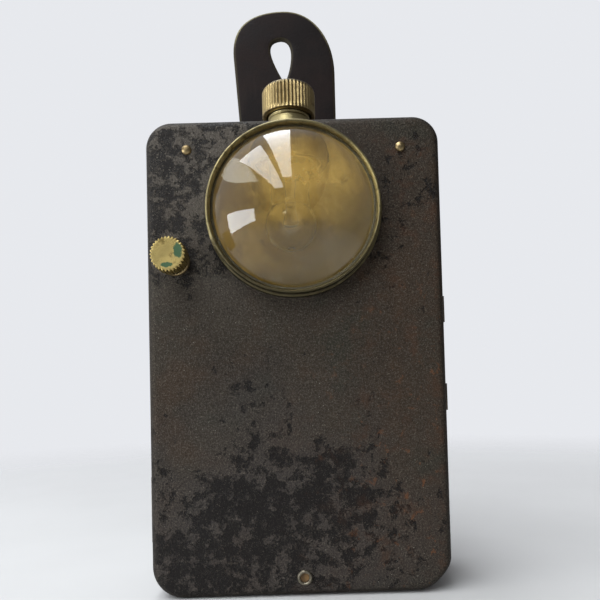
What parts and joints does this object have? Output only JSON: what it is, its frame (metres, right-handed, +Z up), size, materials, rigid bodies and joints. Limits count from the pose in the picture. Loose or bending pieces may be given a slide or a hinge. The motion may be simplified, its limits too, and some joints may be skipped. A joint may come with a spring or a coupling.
{
  "type": "miner's cap lamp",
  "caption": "Flat sheet-metal battery lamp with a bull's-eye lens, capped bulb neck, screw switch knob, hinged rear cover and leather button tab.",
  "frame": {"origin": "centre of the flat bottom of the case, midway through the case's depth", "axes": "+Z up towards the cap and the leather tab, -Y out of the lens, +X to the right of a person who looks at the lens"},
  "size_m": [0.0706, 0.0438, 0.1522],
  "materials": {
    "case_paint": "worn dark brown-black stoving paint over sheet steel, with bare and rusty spots",
    "tinplate": "dull tinned sheet steel",
    "brass": "old brass with brown tarnish, brighter on worn edges",
    "reflector_brass": "stained matt brass bowl that has lost its plating",
    "contact_brass": "thin brass strip and shell, lightly tarnished",
    "lens_glass": "clear pressed glass with dust at its edge",
    "bulb_glass": "thin clear blown glass",
    "leather": "dark brown-black waxed strap leather with lighter cut edges",
    "fibre": "red-brown vulcanised fibre",
    "gasket_rubber": "hardened dark rubber",
    "battery_card": "plain blue-grey paper over card",
    "pitch": "black sealing pitch",
    "solder": "grey solder",
    "tungsten": "dull grey wire"
  },
  "bodies": {
    "case": {"front_shell": "case_paint", "chassis_plate": "tinplate", "fibre_liner": "fibre", "socket_bracket": "tinplate", "front_rivet_left": "brass", "front_rivet_right": "brass", "bottom_eyelet": "brass", "lens_bezel": "brass", "lens_gasket": "gasket_rubber", "bullseye_lens": "lens_glass", "reflector": "reflector_brass", "reflector_retainer": "tinplate", "neck_tube": "brass", "socket_insulator": "fibre", "socket_shell": "contact_brass", "bulb_base": "contact_brass", "bulb_insulator": "pitch", "bulb_tip": "solder", "bulb_glass": "bulb_glass", "filament": "tungsten", "switch_bush": "brass", "bush_nut": "brass", "leaf_insulator": "fibre", "leaf_foot": "contact_brass", "leaf_rivet": "contact_brass", "lead_strip": "contact_brass", "battery_jacket": "battery_card", "battery_top_seal": "pitch", "battery_strip_long": "contact_brass", "battery_strip_short": "contact_brass", "hinge_leaf_case": "tinplate", "hinge_pin": "tinplate"},
    "cover": {"rear_cover": "case_paint", "cover_frame": "tinplate", "catch_spring": "tinplate", "battery_spring": "tinplate", "spring_rivet": "tinplate", "hinge_leaf_cover": "tinplate", "tab_base": "leather", "tab_plate": "brass", "tab_rivet_left": "brass", "tab_rivet_right": "brass"},
    "tab": {"tab_strap": "leather"},
    "cap_plunger": {"cap_contact": "brass", "cap_spring": "tinplate"},
    "cap": {"top_cap": "brass"},
    "switch_pusher": {"switch_tip": "fibre"},
    "switch": {"switch_knob": "brass"},
    "leaf": {"contact_leaf": "contact_brass"}
  },
  "joints": [
    {"name": "cover_hinge", "type": "hinge", "parent": "case", "child": "cover", "pos_m": [0.03505, 0.0094, 0.054], "axis": [0, 0, -1], "range_deg": [0, 115]},
    {"name": "tab_fold", "type": "hinge", "parent": "cover", "child": "tab", "pos_m": [0, 0.01595, 0.10815], "axis": [-1, 0, 0], "range_deg": [-10, 90], "stiffness_Nm_per_rad": 0.01},
    {"name": "cap_lift", "type": "slide", "parent": "case", "child": "cap_plunger", "axis": [0, 0, 1], "range_m": [0, 0.00375]},
    {"name": "cap_turn", "type": "hinge", "parent": "cap_plunger", "child": "cap", "pos_m": [-0.0008, -0.001, 0.118], "axis": [0, 0, 1], "range_deg": [0, 1800]},
    {"name": "switch_feed", "type": "slide", "parent": "case", "child": "switch_pusher", "axis": [0, 1, 0], "range_m": [0, 0.0015]},
    {"name": "switch_turn", "type": "hinge", "parent": "switch_pusher", "child": "switch", "pos_m": [-0.027, -0.019, 0.0755], "axis": [0, 1, 0], "range_deg": [0, 720]},
    {"name": "leaf_flex", "type": "hinge", "parent": "case", "child": "leaf", "pos_m": [-0.027, -0.00415, 0.08785], "axis": [1, 0, 0], "range_deg": [0, 7]}
  ],
  "couplings": [
    {"joint": "cap_turn", "follows": "cap_lift", "rad_per_m": 8377.6},
    {"joint": "switch_turn", "follows": "switch_feed", "rad_per_m": 8377.6},
    {"joint": "leaf_flex", "follows": "switch_feed", "rad_per_m": 80.4}
  ]
}
